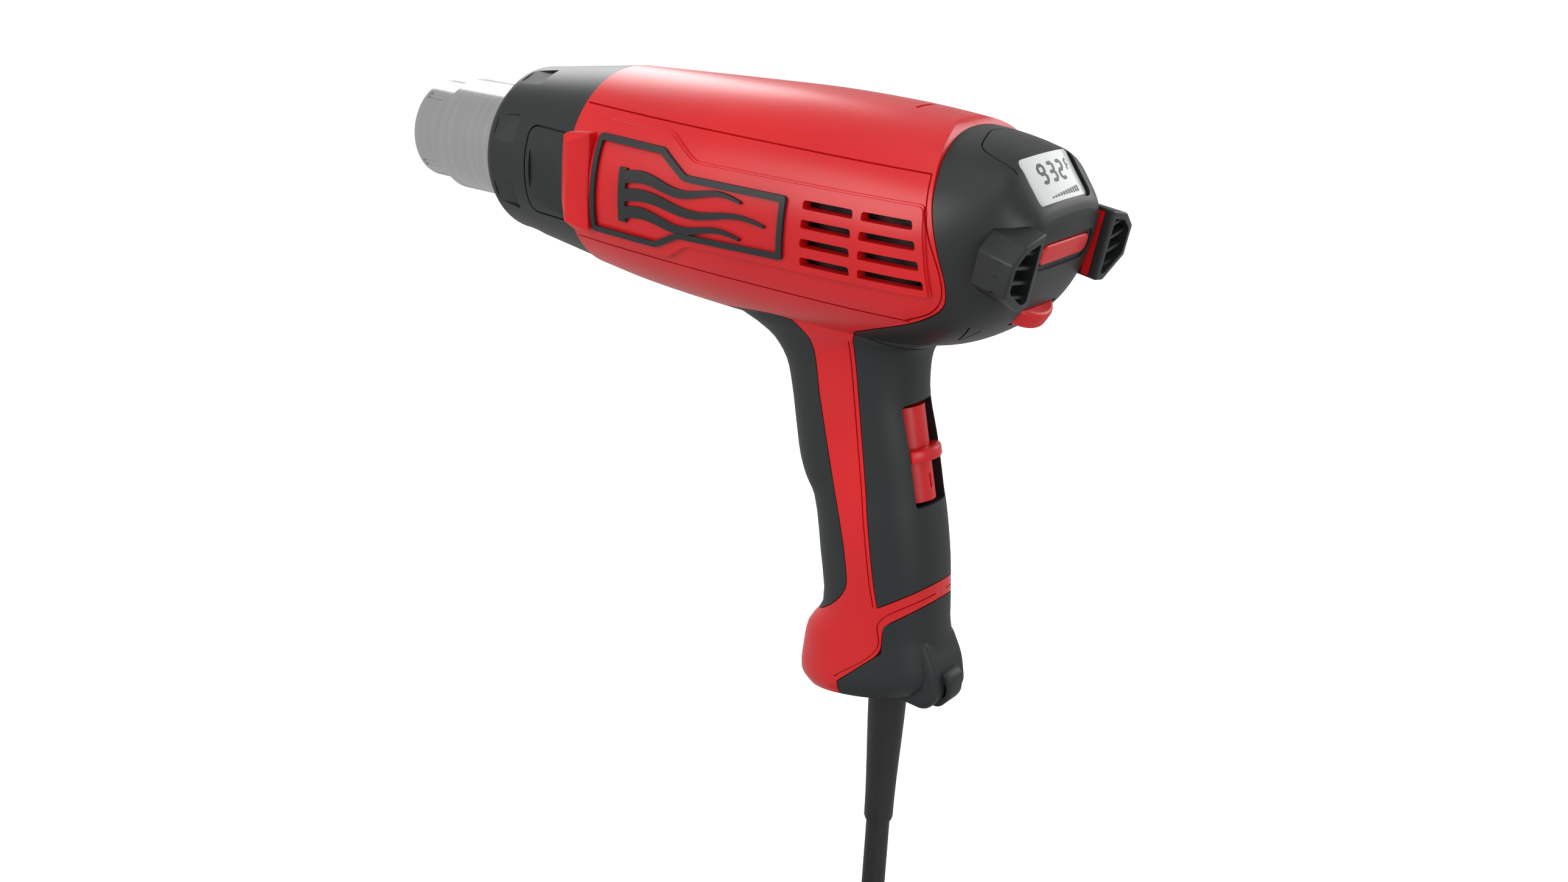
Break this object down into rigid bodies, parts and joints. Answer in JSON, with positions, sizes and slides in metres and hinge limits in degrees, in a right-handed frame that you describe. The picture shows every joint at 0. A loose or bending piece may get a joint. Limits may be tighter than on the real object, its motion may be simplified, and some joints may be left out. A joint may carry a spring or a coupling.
{
  "type": "heat gun",
  "caption": "Hand-held heat gun with a steel outlet tube, a two-tone pistol body, a slide switch in the grip, a rear display with a thumbwheel, and a coiled mains cord.",
  "frame": {"origin": "the middle of the handle's grip, on the gun's middle plane", "axes": "+X from the outlet towards the rear display, +Z from the handle's end up to the barrel, and +Y completes the set, so the side with the screw heads faces +Y"},
  "size_m": [0.258, 0.1783, 0.3282],
  "materials": {
    "red_plastic": "smooth satin moulded plastic",
    "black_plastic": "fine-textured moulded plastic",
    "soft_grip": "soft overmould, fine matt grain",
    "cord_rubber": "matt rubber",
    "nozzle_steel": "satin stainless steel, brushed round the tube",
    "steel_parts": "plain steel",
    "resistance_wire": "bare resistance wire",
    "mica": "sheet mica",
    "display": "clear window over a pale liquid crystal display",
    "circuit_board": "green lacquered board",
    "white_plastic": "plain moulded plastic",
    "wire_insulation": "silicone sleeve",
    "plug_brass": "bright stamped brass"
  },
  "bodies": {
    "root": {"nozzle_tube": "nozzle_steel", "nose_collar": "black_plastic", "housing_left": "red_plastic", "housing_right": "red_plastic", "badge_frame_left": "black_plastic", "badge_frame_right": "black_plastic", "badge_emblem_left": "black_plastic", "badge_emblem_right": "black_plastic", "vent_screen_left": "black_plastic", "vent_screen_right": "black_plastic", "rear_cap": "black_plastic", "display_window": "display", "dial_post": "steel_parts", "bumper_left": "soft_grip", "bumper_right": "soft_grip", "bumper_stripe_left": "red_plastic", "bumper_stripe_right": "red_plastic", "grip_front": "soft_grip", "grip_rear": "soft_grip", "handle_end": "soft_grip", "switch_track": "red_plastic", "switch_body": "white_plastic", "heater_tube": "mica", "heater_core": "mica", "heating_coil": "resistance_wire", "thermal_cutout": "steel_parts", "fan_shroud": "black_plastic", "motor_mount": "black_plastic", "motor_body": "steel_parts", "control_board": "circuit_board", "terminal_block": "white_plastic", "cord_clamp": "white_plastic", "lead_wire_live": "wire_insulation", "lead_wire_neutral": "wire_insulation", "housing_screw_1": "steel_parts", "housing_screw_2": "steel_parts", "housing_screw_3": "steel_parts", "housing_screw_4": "steel_parts", "housing_screw_5": "steel_parts", "strain_relief": "cord_rubber", "cord_tube": "cord_rubber", "cord_coil": "cord_rubber", "cord_tail": "cord_rubber", "coil_tie": "black_plastic", "plug_body": "cord_rubber", "plug_blade_1": "plug_brass", "plug_blade_2": "plug_brass"},
    "power_slider": {"switch_slider": "red_plastic"},
    "mode_key": {"mode_button": "red_plastic"},
    "temperature_wheel": {"thumbwheel": "red_plastic"},
    "fan": {"fan_impeller": "white_plastic", "motor_shaft": "steel_parts"}
  },
  "joints": [
    {"name": "power_slide", "type": "slide", "parent": "root", "child": "power_slider", "axis": [-0.2294, 0, 0.9733], "range_m": [-0.006, 0.006]},
    {"name": "mode_press", "type": "slide", "parent": "root", "child": "mode_key", "axis": [-0.9684, 0, 0.2496], "range_m": [0, 0.0015], "stiffness_N_per_m": 300, "springref_m": -0.001},
    {"name": "temperature_turn", "type": "hinge", "parent": "root", "child": "temperature_wheel", "pos_m": [0.0439, 0, 0.0652], "axis": [0.5269, 0, 0.8499], "range_deg": [-135, 135]},
    {"name": "fan_spin", "type": "hinge", "parent": "root", "child": "fan", "pos_m": [-0.064, 0, 0.08], "axis": [1, 0, 0], "continuous": true}
  ]
}
